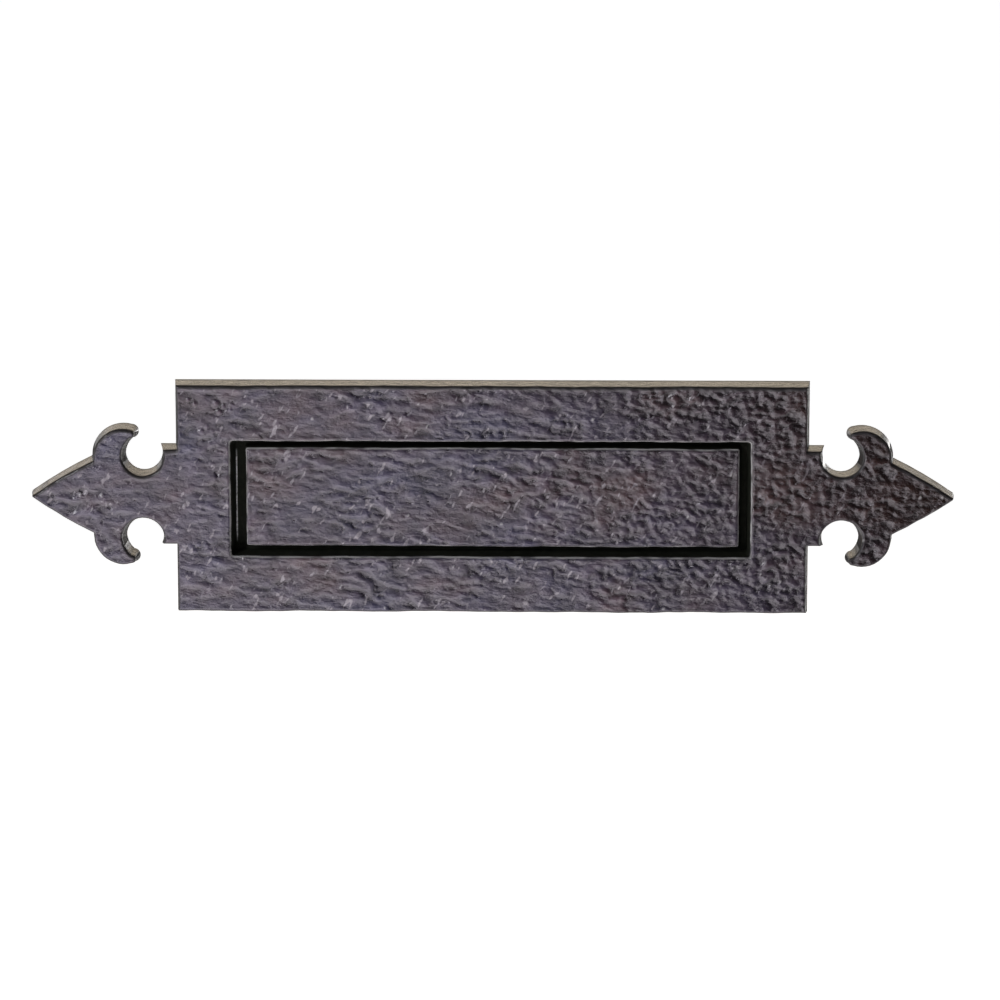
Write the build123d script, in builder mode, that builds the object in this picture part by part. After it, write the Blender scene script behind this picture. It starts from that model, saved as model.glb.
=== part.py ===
from build123d import *
from math import cos, radians, sin, tan
import os

# Letter plate in cast iron with fleur-de-lis ends, millimetres, +Z up.
# The back of the plate lies on the plane y = 0 and the face looks towards -Y. The origin is
# the centre of the plate's oblong body on that back plane.

# ---------------------------------------------------------------- driving dimensions
# Plate casting, measured on its back plane, where the draft makes it largest.
body_half_width = 137.9
body_half_height = 51.05
plate_depth = 11.0
draft_angle = 6.0
skin = 4.5
outer_wall = 4.5
pocket_corner = 3.0

# Fleur-de-lis end, upper half above its own centre line: shoulder, round notch, curled
# hook and spear.
fleur_rise = 0.7
shoulder_x = 144.5
shoulder_z = 22.1
notch_floor = (152.1, 10.6)
notch_side = (159.8, 17.9)
curl_middle = (159.0, 21.3)
curl_end = (156.6, 24.6)
hook_tip = (154.0, 27.5)
hook_top = (156.9, 30.6)
hook_back = (169.3, 28.0)
cusp = (174.5, 16.7)
spear_belly = (188.9, 8.9)
spear_tip = (202.4, 0)
spear_tip_radius = 1.7

# Letter opening, measured at the rear edge of its reveal, and the land behind it.
opening_width = 222.9
opening_height = 47.8
opening_draft = 9.0
opening_shift = -0.6
opening_corner = 1.0
land_width = 6.0
land_step = 0.5
land_corner = 3.0

# Flap: a hollow raised panel that fills the opening, on a wider flange behind it.
flap_front_width = 214.3
flap_front_height = 43.3
flap_draft = 5.0
flap_centre = (0.3, 0.5)
flap_recess = 2.5
flap_skin = 3.2
flap_wall = 3.2
panel_corner = 1.6
hollow_corner = 2.0
flange_width = 231.0
flange_height = 56.0
flange_thickness = 2.4
flange_gap = 0.3
flange_corner = 2.5

# Hinge along X, above and behind the opening.
hinge_y = 6.0
hinge_z = 34.0
rod_radius = 2.0
rod_bore = 2.2
rod_half_length = 120.5
lug_radius = 4.75
lug_inner_x = 112.0
lug_thickness = 5.0
lug_foot_z = (32.5, 42.5)
knuckle_radius = 4.4
knuckle_outer_x = (104.8, 110.9)
knuckle_inner_x = (79.5, 84.5)
knuckle_foot_z = (22.0, 27.5)
arm_foot_thickness = 0.4

# Small parts on the hinge rod.
thrust_washer_radius = 4.2
thrust_washer_thickness = 0.8
clip_radius = 4.4
clip_thickness = 1.4
clip_gap = 0.3
clip_slots = 6
clip_slot_length = 1.6
clip_slot_width = 0.7
clip_slot_offset = 0.4

# Torsion springs round the hinge rod. Angles are in the Y-Z plane, from +Y towards +Z.
wire_radius = 0.6
coil_radius = 3.0
coil_pitch = 1.36
coil_turns = 11 + 5 / 6
coil_start_x = 86.2
coil_start_angle = 240
fixed_leg = 11.85
flap_leg = 10.5

# Bolt-through fixings, one at each end of the opening.
stud_x = 126.0
shank_radius = 3.0
thread_radius = 2.75
stud_root = 8.0
shank_end = 32.0
stud_end = 62.0
boss_radius = 6.0
door_thickness = 44.0
door_washer_radius = 9.0
door_washer_bore = 3.25
door_washer_thickness = 1.5
nut_flats = 10.0
nut_thickness = 5.0
edge_break = 0.4

# ---------------------------------------------------------------- worked-out places
cut_margin = 1.0
pocket_y = skin - plate_depth
pocket_width = 2 * (body_half_width - outer_wall)
pocket_height = 2 * (body_half_height - outer_wall)
land_y = -land_step
flange_front_y = land_y + flange_gap
flange_back_y = flange_front_y + flange_thickness
flap_front_y = flap_recess - plate_depth
opening_spread = 2 * (plate_depth + cut_margin - land_step) * tan(radians(opening_draft))
mouth_width = opening_width + opening_spread
mouth_height = opening_height + opening_spread
land_outer_width = opening_width + 2 * land_width
land_outer_height = opening_height + 2 * land_width
panel_height = flange_front_y - flap_front_y
panel_spread = 2 * panel_height * tan(radians(flap_draft))
panel_root_width = flap_front_width + panel_spread
panel_root_height = flap_front_height + panel_spread
hollow_width = flap_front_width - 2 * flap_wall
hollow_height = flap_front_height - 2 * flap_wall
hollow_depth = flange_back_y - flap_front_y - flap_skin
draft_inset = plate_depth * tan(radians(draft_angle))
thrust_washer_gap = (lug_inner_x - knuckle_outer_x[1] - thrust_washer_thickness) / 2

os.makedirs("parts", exist_ok=True)


def facing(y):
    """A plane at depth y whose sketches are seen from the front: X right, Z up, normal -Y."""
    return Plane.XZ.offset(-y)


def across(x):
    """A plane at x whose sketches are seen along the hinge: Y right, Z up, normal +X."""
    return Plane.YZ.offset(x)


def finish(part, label):
    """Label a finished piece and write its STEP file."""
    part.label = label
    export_step(part, f"parts/{label}.step")


# ---------------------------------------------------------------- shared profiles
def fleur_pair():
    """Both fleur-de-lis ends on their own centre line, joined by a bar behind the body."""
    with BuildSketch() as pair:
        with BuildLine():
            shoulder = Line((0, shoulder_z), (shoulder_x, shoulder_z))
            notch = ThreePointArc(shoulder @ 1, notch_floor, notch_side)
            curl = ThreePointArc(notch @ 1, curl_middle, curl_end)
            tip = ThreePointArc(curl @ 1, hook_tip, hook_top)
            hook = ThreePointArc(tip @ 1, hook_back, cusp)
            spear = ThreePointArc(hook @ 1, spear_belly, spear_tip)
            Polyline(spear @ 1, (0, 0), (0, shoulder_z))
        make_face()
        mirror(about=Plane.XZ)
        mirror(about=Plane.YZ)
        tips = pair.vertices().group_by(Axis.X)
        fillet(tips[0] + tips[-1], spear_tip_radius)
    return pair.sketch


def plate_outline():
    """The whole outline at the back plane: the oblong body and the fleurs, a little high on it."""
    with BuildSketch() as outline:
        Rectangle(2 * body_half_width, 2 * body_half_height)
        with Locations((0, fleur_rise)):
            add(fleur_pair())
    return outline.sketch


def hinge_arm(radius, foot_y, foot_z):
    """An arm in the Y-Z plane: an eye round the hinge axis, hulled to an upright foot."""
    with BuildSketch() as arm:
        with Locations((hinge_y, hinge_z)):
            Circle(radius)
        with Locations((foot_y, sum(foot_z) / 2)):
            Rectangle(arm_foot_thickness, foot_z[1] - foot_z[0])
        make_hull()
    return arm.sketch


# ---------------------------------------------------------------- plate
with BuildPart() as plate:
    with BuildSketch(facing(0)) as back_outline:
        add(plate_outline())
    with BuildSketch(facing(-plate_depth)):
        offset(plate_outline(), amount=-draft_inset, kind=Kind.INTERSECTION)
    loft(ruled=True)

    # Hollow back of the body, leaving the outer wall and the land round the opening.
    with BuildSketch(facing(0)):
        RectangleRounded(pocket_width, pocket_height, pocket_corner)
        with Locations((opening_shift, 0)):
            RectangleRounded(land_outer_width, land_outer_height, land_corner, mode=Mode.SUBTRACT)
    extrude(amount=-pocket_y, mode=Mode.SUBTRACT)

    # The land stops short of the back plane, so the flange can close against it.
    with BuildSketch(facing(0)):
        with Locations((opening_shift, 0)):
            RectangleRounded(land_outer_width, land_outer_height, land_corner)
    extrude(amount=land_step, mode=Mode.SUBTRACT)

    # Letter opening, wider at the front than at the back.
    with BuildSketch(facing(land_y)):
        with Locations((opening_shift, 0)):
            RectangleRounded(opening_width, opening_height, opening_corner)
    with BuildSketch(facing(-plate_depth - cut_margin)):
        with Locations((opening_shift, 0)):
            RectangleRounded(mouth_width, mouth_height, opening_corner)
    loft(ruled=True, mode=Mode.SUBTRACT)

    # Tapped bosses for the fixing studs.
    with BuildSketch(facing(pocket_y)):
        with Locations((-stud_x, 0), (stud_x, 0)):
            Circle(boss_radius)
    extrude(amount=pocket_y + land_step)
    with BuildSketch(facing(land_y)):
        with Locations((-stud_x, 0), (stud_x, 0)):
            Circle(thread_radius)
    extrude(amount=stud_root - land_step, mode=Mode.SUBTRACT)

    # Lugs that carry the hinge rod.
    for x in (lug_inner_x, -lug_inner_x - lug_thickness):
        with BuildSketch(across(x)):
            add(hinge_arm(lug_radius, pocket_y, lug_foot_z))
        extrude(amount=lug_thickness)
    with BuildSketch(across(-lug_inner_x - lug_thickness)):
        with Locations((hinge_y, hinge_z)):
            Circle(rod_bore)
    extrude(amount=2 * (lug_inner_x + lug_thickness), mode=Mode.SUBTRACT)

finish(plate.part, "plate")

# ---------------------------------------------------------------- flap
with BuildPart() as flap:
    with BuildSketch(facing(flange_back_y)):
        RectangleRounded(flange_width, flange_height, flange_corner)
    extrude(amount=flange_thickness)

    # Raised panel, smaller at the front than at the flange.
    with BuildSketch(facing(flange_front_y)):
        with Locations(flap_centre):
            RectangleRounded(panel_root_width, panel_root_height, panel_corner)
    extrude(amount=panel_height, taper=flap_draft)

    # Hollow back of the panel, open towards +Y.
    with BuildSketch(facing(flange_back_y)):
        with Locations(flap_centre):
            RectangleRounded(hollow_width, hollow_height, hollow_corner)
    extrude(amount=hollow_depth, mode=Mode.SUBTRACT)

    # Knuckles in pairs, each pair with a spring between them.
    for near, far in (knuckle_outer_x, knuckle_inner_x):
        for x in (near, -far):
            with BuildSketch(across(x)):
                add(hinge_arm(knuckle_radius, flange_back_y, knuckle_foot_z))
            extrude(amount=far - near)
    with BuildSketch(across(-lug_inner_x)):
        with Locations((hinge_y, hinge_z)):
            Circle(rod_bore)
    extrude(amount=2 * lug_inner_x, mode=Mode.SUBTRACT)

finish(flap.part, "flap")

# ---------------------------------------------------------------- hinge rod and its small parts
with BuildPart() as hinge_rod:
    with BuildSketch(across(-rod_half_length)):
        with Locations((hinge_y, hinge_z)):
            Circle(rod_radius)
    extrude(amount=2 * rod_half_length)
    chamfer(hinge_rod.edges(), edge_break)

finish(hinge_rod.part, "hinge_rod")


def rod_washer(x, radius, bore, thickness):
    """A flat ring round the hinge axis, with its middle at x."""
    with BuildPart() as ring:
        with BuildSketch(across(x - thickness / 2)):
            with Locations((hinge_y, hinge_z)):
                Circle(radius)
                Circle(bore, mode=Mode.SUBTRACT)
        extrude(amount=thickness)
    return ring.part


def rod_clip(x):
    """A push-on fixing washer, middle at x: a ring with slots cut outwards from its bore."""
    with BuildPart() as clip:
        with BuildSketch(across(x - clip_thickness / 2)):
            with Locations((hinge_y, hinge_z)):
                Circle(clip_radius)
                Circle(rod_radius, mode=Mode.SUBTRACT)
                with PolarLocations(rod_radius + clip_slot_offset, clip_slots):
                    SlotOverall(clip_slot_length, clip_slot_width, mode=Mode.SUBTRACT)
        extrude(amount=clip_thickness)
    return clip.part


for side, name in ((-1, "left"), (1, "right")):
    washer_middle = side * (lug_inner_x - thrust_washer_gap - thrust_washer_thickness / 2)
    washer = rod_washer(washer_middle, thrust_washer_radius, rod_bore, thrust_washer_thickness)
    finish(washer, f"thrust_washer_{name}")
    clip_middle = side * (lug_inner_x + lug_thickness + clip_gap + clip_thickness / 2)
    finish(rod_clip(clip_middle), f"rod_clip_{name}")

# ---------------------------------------------------------------- flap springs
# The fixed leg leaves the coil from its lower front towards the plate, and the other leg
# hangs straight down behind the flange. Opening the flap winds the coil tighter.
coil_start = (0, cos(radians(coil_start_angle)), sin(radians(coil_start_angle)))
coil_origin = (coil_start_x, hinge_y, hinge_z)
coil_plane = Plane(origin=coil_origin, x_dir=coil_start, z_dir=(1, 0, 0))
coil_path = coil_plane * Helix(coil_pitch, coil_pitch * coil_turns, coil_radius)

with BuildPart() as spring_right:
    with BuildSketch(Plane(origin=coil_path @ 0, z_dir=coil_path % 0)):
        Circle(wire_radius)
    sweep(path=coil_path)
    with BuildSketch(Plane(origin=coil_path @ 0, z_dir=-(coil_path % 0))):
        Circle(wire_radius)
    extrude(amount=fixed_leg)
    with BuildSketch(Plane(origin=coil_path @ 1, z_dir=coil_path % 1)):
        Circle(wire_radius)
    extrude(amount=flap_leg)

with BuildPart() as spring_left:
    mirror(spring_right.part, about=Plane.YZ)

finish(spring_left.part, "spring_left")
finish(spring_right.part, "spring_right")


# ---------------------------------------------------------------- fixings
def stud(x):
    """A fixing stud: threaded root in the boss, plain shank through the door, threaded end."""
    with BuildPart() as bar:
        with BuildSketch(facing(land_y)):
            with Locations((x, 0)):
                Circle(thread_radius)
        extrude(amount=stud_root - land_step - edge_break)
        with BuildSketch(facing(shank_end)):
            with Locations((x, 0)):
                Circle(shank_radius)
        extrude(amount=shank_end - land_y)
        with BuildSketch(facing(stud_end)):
            with Locations((x, 0)):
                Circle(thread_radius)
        extrude(amount=stud_end - shank_end)
        chamfer(bar.edges().group_by(Axis.Y)[-1], edge_break)
    return bar.part


def door_washer(x):
    """The flat washer that bears on the inside of the door."""
    with BuildPart() as washer:
        with BuildSketch(facing(door_thickness + door_washer_thickness)):
            with Locations((x, 0)):
                Circle(door_washer_radius)
                Circle(door_washer_bore, mode=Mode.SUBTRACT)
        extrude(amount=door_washer_thickness)
    return washer.part


def door_nut(x):
    """A hexagon nut on the stud, against the door washer."""
    nut_back_y = door_thickness + door_washer_thickness + nut_thickness
    with BuildPart() as nut:
        with BuildSketch(facing(nut_back_y)):
            with Locations((x, 0)):
                RegularPolygon(nut_flats / 2, 6, major_radius=False)
                Circle(thread_radius, mode=Mode.SUBTRACT)
        extrude(amount=nut_thickness)
    return nut.part


for side, name in ((-1, "left"), (1, "right")):
    finish(stud(side * stud_x), f"stud_{name}")
    finish(door_washer(side * stud_x), f"door_washer_{name}")
    finish(door_nut(side * stud_x), f"door_nut_{name}")
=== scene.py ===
from collections import namedtuple
from math import cos, pi, radians, sin, tan

import bmesh
import bpy
import numpy as np
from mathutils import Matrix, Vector
from mathutils.geometry import delaunay_2d_cdt


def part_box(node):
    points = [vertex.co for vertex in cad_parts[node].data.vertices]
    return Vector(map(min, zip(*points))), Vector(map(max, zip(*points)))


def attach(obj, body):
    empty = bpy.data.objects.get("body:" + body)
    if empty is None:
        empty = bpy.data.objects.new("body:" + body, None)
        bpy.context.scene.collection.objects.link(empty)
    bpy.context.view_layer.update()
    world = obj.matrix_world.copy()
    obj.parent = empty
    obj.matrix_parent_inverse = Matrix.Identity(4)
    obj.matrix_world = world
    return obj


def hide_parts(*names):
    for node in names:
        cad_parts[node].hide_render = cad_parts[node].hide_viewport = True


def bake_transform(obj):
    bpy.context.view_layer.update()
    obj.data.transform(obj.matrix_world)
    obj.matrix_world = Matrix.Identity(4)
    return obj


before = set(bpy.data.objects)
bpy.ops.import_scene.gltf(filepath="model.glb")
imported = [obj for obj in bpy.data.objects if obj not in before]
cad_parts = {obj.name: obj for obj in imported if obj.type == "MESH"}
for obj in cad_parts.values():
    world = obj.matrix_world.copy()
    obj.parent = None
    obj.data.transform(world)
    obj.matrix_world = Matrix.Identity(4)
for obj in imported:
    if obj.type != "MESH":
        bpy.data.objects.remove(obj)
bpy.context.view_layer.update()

# Looks of a cast letter plate with fleur-de-lis ends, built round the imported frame.
# Lengths are metres in the frame and millimetres (names ending in _mm) inside the relief.
# The face looks towards -Y and the back of the plate lies on y = 0.

MM = 0.001

# ---------------------------------------------------------------- sizes shared with the frame
plate_front_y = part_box("plate")[0].y
flap_front_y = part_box("flap")[0].y
land_y = -0.5 * MM
flange_front_y = -0.2 * MM
outer_draft = 6.0
opening_draft = 9.0
flap_draft = 5.0

# ---------------------------------------------------------------- sizes of the cast surface
face_spacing_mm = 0.62
edge_spacing_mm = 0.6
edge_rows_mm = (0.14, 0.38, 0.72, 1.15, 1.65)
edge_row_slack = 0.93
grid_jitter = 0.12
edge_radius_mm = 1.5
relief_top_mm = 0.55
calm_edge_mm = 2.5
wall_steps = (0.1, 0.25, 0.45, 0.7, 1.0)
wall_lump_mm = 0.16
# The walls' height value, low so that the walls get painted shade.
wall_shade_crest = 0.35

# Where an outer wall counts as facing upwards, from its outward Z: partly, then wholly.
# Walls that don't face upwards get painted shade.
upright_from = 0.4
upright_full = 0.85

# How far from an edge the painted edge shade and the painted highlight line fade away.
edge_shade_fade_mm = (0.3, 1.1)
top_edge_shade_mm = 0.8
highlight_fade_mm = (0.2, 0.5)
bead_highlight = 0.45

# ---------------------------------------------------------------- limits for the mesh work
weld_distance = 2e-6
corner_turn = 28
corner_reach_mm = 0.5
long_side_mm = 6.0
smallest_ring_mm = 100
batch_size = 4000


# ---------------------------------------------------------------- noise
NOISE_CELLS = 64


def noise(u, v, seed):
    """Gradient noise, about -0.7 to 0.7, with bumps about one unit apart in u and v."""
    angle = np.random.default_rng(seed).uniform(0, 2 * pi, (NOISE_CELLS, NOISE_CELLS))
    slope_u, slope_v = np.cos(angle), np.sin(angle)
    cell_u, cell_v = np.floor(u).astype(int), np.floor(v).astype(int)
    in_u, in_v = u - cell_u, v - cell_v

    def corner(du, dv):
        i, j = (cell_u + du) % NOISE_CELLS, (cell_v + dv) % NOISE_CELLS
        return slope_u[i, j] * (in_u - du) + slope_v[i, j] * (in_v - dv)

    ease_u = in_u**3 * (in_u * (6 * in_u - 15) + 10)
    ease_v = in_v**3 * (in_v * (6 * in_v - 15) + 10)
    low = corner(0, 0) * (1 - ease_u) + corner(1, 0) * ease_u
    high = corner(0, 1) * (1 - ease_u) + corner(1, 1) * ease_u
    return low * (1 - ease_v) + high * ease_v


def ramp(value, start, end):
    """0 before start, 1 after end, and smooth between them."""
    t = np.clip((value - start) / (end - start), 0, 1)
    return t * t * (3 - 2 * t)


# Casting blisters on the face: x, z, size and height of each, in mm.
blisters_mm = [
    (-131.5, 43.5, 0.8, 0.40), (-128.8, 41.8, 0.9, 0.45), (-119.5, 42.0, 1.3, 0.55),
    (-116.4, 41.0, 0.9, 0.50), (-118.2, 38.6, 1.1, 0.45), (-113.6, 39.6, 0.8, 0.40),
    (-123.4, 31.8, 0.8, 0.35), (-126.0, 29.6, 1.0, 0.35), (-131.0, -21.4, 0.9, 0.40),
    (-127.6, -20.6, 0.8, 0.45), (-124.2, -20.9, 0.9, 0.45), (-120.4, -22.3, 0.7, 0.40),
    (64.5, 35.5, 0.8, 0.40), (68.0, 37.0, 0.8, 0.40), (143.5, -16.5, 0.9, 0.45),
]


def blister_mm(x, z, middle_x, middle_z, size, rise):
    """Height in mm of one blister and of the shallow moat round it."""
    away = np.hypot(x - middle_x, z - middle_z) / size
    return rise * np.exp(-(away**2)) - 0.4 * rise * np.exp(-((away - 1.7) ** 2) * 5)


def relief_mm(x, z, seed):
    """Height in mm of the cast face at (x, z) in mm, and how far a bead tops it there, 0 to 1.

    Fine mottling all over, level lumps at left, rounder ones at right, and scattered thin
    creases, dents and small beads.
    """
    # The layers are laid out on places that drift, so that no layer shows its grid.
    drift_x = x + 2.6 * noise(x / 13, z / 8, seed) + 0.8 * noise(x / 4, z / 3, seed + 1)
    drift_z = z + 0.06 * x + 1.5 * noise(x / 11, z / 7, seed + 2)
    broad = noise(x / 30, z / 15, seed + 3)
    lumps = noise(drift_x / 6.4, drift_z / 3.1, seed + 4) + 0.6 * noise(x / 9, z / 4.6, seed + 12)
    knobs = noise(x / 3.1, z / 2.7, seed + 13) + 0.6 * noise(x / 5.6, z / 4.4, seed + 14)
    mottle = noise(x / 2.2, z / 1.6, seed + 5)
    grain = noise(x / 1.3, z / 1.2, seed + 6)
    vein = noise(drift_x / 8.5, drift_z / 3.2, seed + 7)
    broken = ramp(noise(drift_x / 6, z / 4, seed + 8), 0.02, 0.3)
    crease = np.exp(-((vein / 0.09) ** 2)) * broken
    pits = ramp(noise(drift_x / 4.2, drift_z / 2.2, seed + 9), 0.28, 0.52)
    beads = ramp(noise((x - 0.4 * z) / 1.9, z / 3.1, seed + 10), 0.4, 0.62)

    # Some patches are calmer than others, and the right end is the roughest.
    patch = ramp(noise(x / 34, z / 19, seed + 11), -0.3, 0.35)
    right = ramp(x + 0.5 * z, -50, 110)
    rough = (0.55 + 0.55 * right) * (0.65 + 0.7 * patch)
    bumpy = lumps * (0.95 - 0.5 * right) + knobs * 0.5 * right + mottle * 0.18
    sharp = beads * 0.45 - crease * (0.14 + 0.26 * right) - pits * 0.4
    height = 0.3 * broad + bumpy * rough + grain * 0.04 + sharp * (0.5 + 0.6 * patch)
    for blister in blisters_mm:
        height = height + blister_mm(x, z, *blister)
    return height, ramp(beads, 0.5, 1.0)


def edge_wander_mm(x, z, seed):
    """How far in mm, along X and along Z, the cast edges wander from their drawn lines."""
    along_x = 0.34 * noise(x / 31, z / 23, seed) + 0.22 * noise(x / 7, z / 6, seed + 1)
    along_z = 0.46 * noise(x / 37, z / 29, seed + 2) + 0.26 * noise(x / 8, z / 6, seed + 3)
    return along_x, along_z


# ---------------------------------------------------------------- outlines
def ordered_loops(edges):
    """Closed loops of vertices from a set of boundary edges."""
    after = {}
    for edge in edges:
        for vert in edge.verts:
            after.setdefault(vert, []).append(edge)
    loops, left = [], set(edges)
    while left:
        edge = min(left, key=lambda e: e.index)
        start = vert = edge.verts[0]
        loop = []
        while edge is not None:
            left.discard(edge)
            loop.append(vert)
            vert = edge.other_vert(vert)
            if vert == start:
                break
            edge = next((e for e in after[vert] if e in left), None)
        loops.append(loop)
    return loops


def flat_mm(loop):
    """A loop of vertices as an array of (x, z) in mm."""
    return np.array([(v.co.x, v.co.z) for v in loop]) / MM


def signed_area(points):
    x, z = points[:, 0], points[:, 1]
    return 0.5 * float(np.sum(x * np.roll(z, -1) - z * np.roll(x, -1)))


def counterclockwise(points):
    return points if signed_area(points) > 0 else points[::-1]


def mitres(points):
    """Each corner's outward mitre, of unit length square to its two sides."""
    ahead = np.roll(points, -1, axis=0) - points
    normal = np.stack([ahead[:, 1], -ahead[:, 0]], axis=1)
    normal /= np.linalg.norm(ahead, axis=1)[:, None]
    before = np.roll(normal, 1, axis=0)
    return (normal + before) / (1 + np.sum(normal * before, axis=1))[:, None]


def turns(points):
    """How far in degrees the outline turns at each point."""
    ahead = np.roll(points, -1, axis=0) - points
    heading = np.arctan2(ahead[:, 1], ahead[:, 0])
    turn = heading - np.roll(heading, 1)
    return np.degrees(np.abs((turn + pi) % (2 * pi) - pi))


def anchors(points):
    """Places that both ends of a wall share: sharp corners, and the ends of long straight sides."""
    step = np.linalg.norm(np.roll(points, -1, axis=0) - points, axis=1)
    longest = np.maximum(step, np.roll(step, 1))
    turn = turns(points)
    return list(np.flatnonzero((turn > corner_turn) | ((turn > 2) & (longest > long_side_mm))))


def matched_corners(front, back, spread):
    """Pairs of corners, (index in front, index in back), in order round both outlines."""
    sharp = anchors(back)
    pairs = []
    for i in anchors(front):
        gap = np.linalg.norm(back[sharp] - (front + mitres(front) * spread)[i], axis=1)
        if gap.min() < corner_reach_mm:
            pairs.append((i, sharp[int(np.argmin(gap))]))
    return pairs


def stretch(points, start, end):
    """The outline from one index to another, going forwards and round its end if need be."""
    count = (end - start) % len(points) or len(points)
    return points[(start + np.arange(count + 1)) % len(points)]


def along(line, shares):
    """Points on an open line at the given shares of its length."""
    length = np.concatenate([[0], np.cumsum(np.linalg.norm(np.diff(line, axis=0), axis=1))])
    at = np.asarray(shares) * length[-1]
    return np.stack([np.interp(at, length, line[:, k]) for k in (0, 1)], axis=1)


def shares_of(line, spacing):
    """Shares of a line's length at its own points and at even steps between them."""
    step = np.linalg.norm(np.diff(line, axis=0), axis=1)
    length = np.concatenate([[0], np.cumsum(step)])
    found = []
    for k, size in enumerate(step):
        count = max(1, int(round(size / spacing)))
        found += [(length[k] + size * i / count) / length[-1] for i in range(count)]
    return found


def paired(front, back, spread, spacing):
    """The front outline divided to the spacing, and the matching place on the back outline."""
    corners = matched_corners(front, back, spread)
    if not corners:
        start = int(np.argmin(np.linalg.norm(back - front[0], axis=1)))
        corners = [(0, start)]
    fronts, backs = [], []
    for (i, j), (i_next, j_next) in zip(corners, corners[1:] + corners[:1]):
        line = stretch(front, i, i_next)
        shares = shares_of(line, spacing)
        fronts.append(along(line, shares))
        backs.append(along(stretch(back, j, j_next), shares))
    return np.concatenate(fronts), np.concatenate(backs)


def segments_of(loops):
    starts = np.concatenate(loops)
    ends = np.concatenate([np.roll(loop, -1, axis=0) for loop in loops])
    return starts, ends


def edge_distance(points, loops):
    """Distance in mm from each point to the nearest stretch of the outlines."""
    starts, ends = segments_of(loops)
    run = ends - starts
    run_squared = np.sum(run * run, axis=1)
    found = np.empty(len(points))
    for first in range(0, len(points), batch_size):
        some = points[first : first + batch_size, None, :]
        t = np.clip(np.sum((some - starts) * run, axis=2) / run_squared, 0, 1)
        gap = some - (starts + t[..., None] * run)
        found[first : first + batch_size] = np.sqrt(np.min(np.sum(gap * gap, axis=2), axis=1))
    return found


def inside(points, loops):
    """Whether each point is in the material: inside an odd number of the outlines."""
    starts, ends = segments_of(loops)
    found = np.empty(len(points), bool)
    for first in range(0, len(points), batch_size):
        x = points[first : first + batch_size, 0, None]
        z = points[first : first + batch_size, 1, None]
        crosses = (starts[:, 1] > z) != (ends[:, 1] > z)
        rise = np.where(ends[:, 1] == starts[:, 1], 1.0, ends[:, 1] - starts[:, 1])
        at = starts[:, 0] + (z - starts[:, 1]) * (ends[:, 0] - starts[:, 0]) / rise
        found[first : first + batch_size] = np.sum(crosses & (x < at), axis=1) % 2 == 1
    return found


def face_points(edges, outlines, spacing):
    """Points inside the outlines: rows beside every edge and a staggered grid elsewhere."""
    rows = []
    for place, outward in edges:
        for distance in edge_rows_mm:
            row = place - outward * mitres(place) * distance
            rows.append(row[edge_distance(row, outlines) > edge_row_slack * distance])
    low = np.min([loop.min(axis=0) for loop in outlines], axis=0)
    high = np.max([loop.max(axis=0) for loop in outlines], axis=0)
    row_gap = spacing * 3**0.5 / 2
    grid = [
        (x + spacing / 2 * (k % 2), z)
        for k, z in enumerate(np.arange(low[1], high[1], row_gap))
        for x in np.arange(low[0], high[0], spacing)
    ]
    jitter = np.random.default_rng(3).uniform(-grid_jitter, grid_jitter, (len(grid), 2))
    grid = np.array(grid) + jitter * spacing
    grid = grid[inside(grid, outlines)]
    grid = grid[edge_distance(grid, outlines) > edge_rows_mm[-1] + 0.6 * spacing]
    return np.concatenate([*rows, grid])


def triangulated(loops, extra, outlines):
    """Points and triangles that fill the outlines, through the loops' and the extra points."""
    points = np.concatenate([*loops, extra]) if len(extra) else np.concatenate(loops)
    edges, first = [], 0
    for loop in loops:
        count = len(loop)
        edges += [(first + i, first + (i + 1) % count) for i in range(count)]
        first += count
    coords, _, faces, _, _, _ = delaunay_2d_cdt([Vector(p) for p in points], edges, [], 0, 1e-6)
    coords = np.array([tuple(c) for c in coords])
    faces = np.array([tuple(f) for f in faces if len(f) == 3])
    middles = coords[faces].mean(axis=1)
    return coords, faces[inside(middles, outlines)]


# ---------------------------------------------------------------- casting a face
def coplanar_patch(seed_faces, y):
    """The faces on the plane y that join the seeds."""
    found, queue = set(), list(seed_faces)
    while queue:
        face = queue.pop()
        if face in found or any(abs(v.co.y - y) > weld_distance for v in face.verts):
            continue
        found.add(face)
        queue += [near for edge in face.edges for near in edge.link_faces]
    return found


def wall_patch(seed_faces, *planes):
    """The faces of a drafted wall that join the seeds, as far as the planes that end it."""
    found, queue = set(), list(seed_faces)
    while queue:
        face = queue.pop()
        flat = any(all(abs(v.co.y - y) < weld_distance for v in face.verts) for y in planes)
        if face in found or flat:
            continue
        found.add(face)
        queue += [near for edge in face.edges for near in edge.link_faces]
    return found


def add_sheet(bm, coords, faces, y_values, towards_front):
    """Adds a triangulated sheet at the given depths. coords are mm; its faces look one way."""
    verts = [bm.verts.new((x * MM, y, z * MM)) for (x, z), y in zip(coords, y_values)]
    for face in faces:
        corners = [verts[i] for i in face]
        a, b, c = (coords[i] for i in face)
        turn = (b[0] - a[0]) * (c[1] - a[1]) - (b[1] - a[1]) * (c[0] - a[0])
        if (turn > 0) != towards_front:
            corners.reverse()
        bm.faces.new(corners)
    return verts


def mark_creases(bm, degrees):
    """Shades smoothly across every edge that turns by less than the given angle."""
    for edge in bm.edges:
        edge.smooth = edge.calc_face_angle(0) < radians(degrees)


# A drafted wall: its start on the face, whether it looks outwards (1) or into an opening (-1),
# its end, whether the ring behind it looks forwards, and whether it stands in the narrow gap.
Wall = namedtuple("Wall", "place outward end_xz end_y ring_forward in_gap")

# What the enamel reads at each vertex: height, which sets painted shade in hollows and painted
# light on crests, how far it is back, a painted highlight, and painted shade near an edge.
Layers = namedtuple("Layers", "crest back wear rim")


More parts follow.
